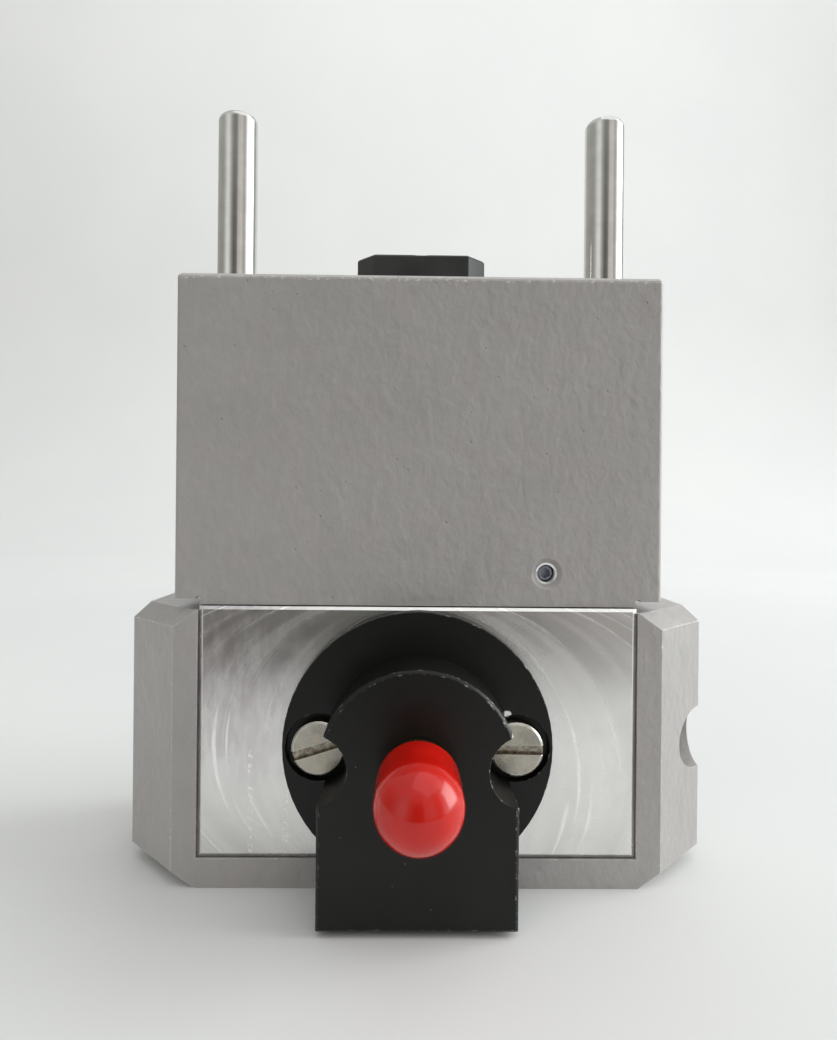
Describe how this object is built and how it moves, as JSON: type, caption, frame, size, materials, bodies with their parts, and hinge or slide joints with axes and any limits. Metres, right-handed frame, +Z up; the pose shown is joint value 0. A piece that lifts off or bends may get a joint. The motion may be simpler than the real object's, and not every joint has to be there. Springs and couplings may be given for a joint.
{
  "type": "pneumatic parallel gripper",
  "caption": "Two-finger parallel gripper: painted housing with steel finger pins on a bevelled base, air port in its side, capped inlet on a black front flange.",
  "frame": {"origin": "on the underside of the base, midway between its two sides and its front and rear faces", "axes": "+Z up, along the finger pins; -Y to the front, where the flange and the capped inlet are; +X to the side with the air port"},
  "size_m": [0.083, 0.0556, 0.1119],
  "materials": {
    "paint": "warm grey orange-peel paint",
    "milled_aluminium": "fly-cut, with wide tool arcs",
    "black_anodised": "satin black anodised",
    "steel": "turned and worn",
    "polished_steel": "ground and polished",
    "black_steel": "black oxide",
    "brass": "turned",
    "rubber": "matt",
    "red_vinyl": "glossy dipped vinyl"
  },
  "bodies": {
    "gripper_body": {"airway_seal": "rubber", "base_yoke": "paint", "cylinder_block": "milled_aluminium", "flange_screw_left": "steel", "flange_screw_right": "steel", "flange_seal": "rubber", "guide_rod_front": "polished_steel", "guide_rod_rear": "polished_steel", "housing_set_screw_front": "black_steel", "housing_set_screw_rear": "black_steel", "inlet_flange": "black_anodised", "inlet_nipple": "brass", "jaw_spring_front_left": "steel", "jaw_spring_front_right": "steel", "jaw_spring_rear_left": "steel", "jaw_spring_rear_right": "steel", "rod_bracket": "milled_aluminium", "rod_seal": "rubber", "spigot_plate": "milled_aluminium", "spigot_screw_front_left": "black_steel", "spigot_screw_front_right": "black_steel", "spigot_screw_rear_left": "black_steel", "spigot_screw_rear_right": "black_steel", "stop_block": "black_anodised", "stop_screw_front": "black_steel", "stop_screw_rear": "black_steel", "upper_housing": "paint", "yoke_screw_left": "black_steel", "yoke_screw_right": "black_steel"},
    "drive": {"piston": "milled_aluminium", "piston_seal": "rubber", "piston_rod": "polished_steel", "drive_wedge": "steel", "rod_nut": "steel"},
    "jaw_carriage_left": {"jaw_left": "steel", "finger_pin_left": "polished_steel", "jaw_roller_left": "steel", "roller_pin_left": "polished_steel"},
    "jaw_carriage_right": {"jaw_right": "steel", "finger_pin_right": "polished_steel", "jaw_roller_right": "steel", "roller_pin_right": "polished_steel"},
    "cap": {"dust_cap": "red_vinyl"}
  },
  "joints": [
    {"name": "piston_lift", "type": "slide", "parent": "gripper_body", "child": "drive", "axis": [0, 0, 1], "range_m": [0, 0.008], "stiffness_N_per_m": 400, "springref_m": -0.01},
    {"name": "jaw_left_slide", "type": "slide", "parent": "gripper_body", "child": "jaw_carriage_left", "axis": [1, 0, 0], "range_m": [0, 0.008], "deforming": ["jaw_spring_front_left", "jaw_spring_rear_left"]},
    {"name": "jaw_right_slide", "type": "slide", "parent": "gripper_body", "child": "jaw_carriage_right", "axis": [-1, 0, 0], "range_m": [0, 0.008], "deforming": ["jaw_spring_front_right", "jaw_spring_rear_right"]},
    {"name": "cap_pull", "type": "slide", "parent": "gripper_body", "child": "cap", "axis": [0, -1, 0], "range_m": [0, 0.02]}
  ],
  "couplings": [
    {"joint": "jaw_left_slide", "follows": "piston_lift", "ratio": 1},
    {"joint": "jaw_right_slide", "follows": "piston_lift", "ratio": 1}
  ]
}
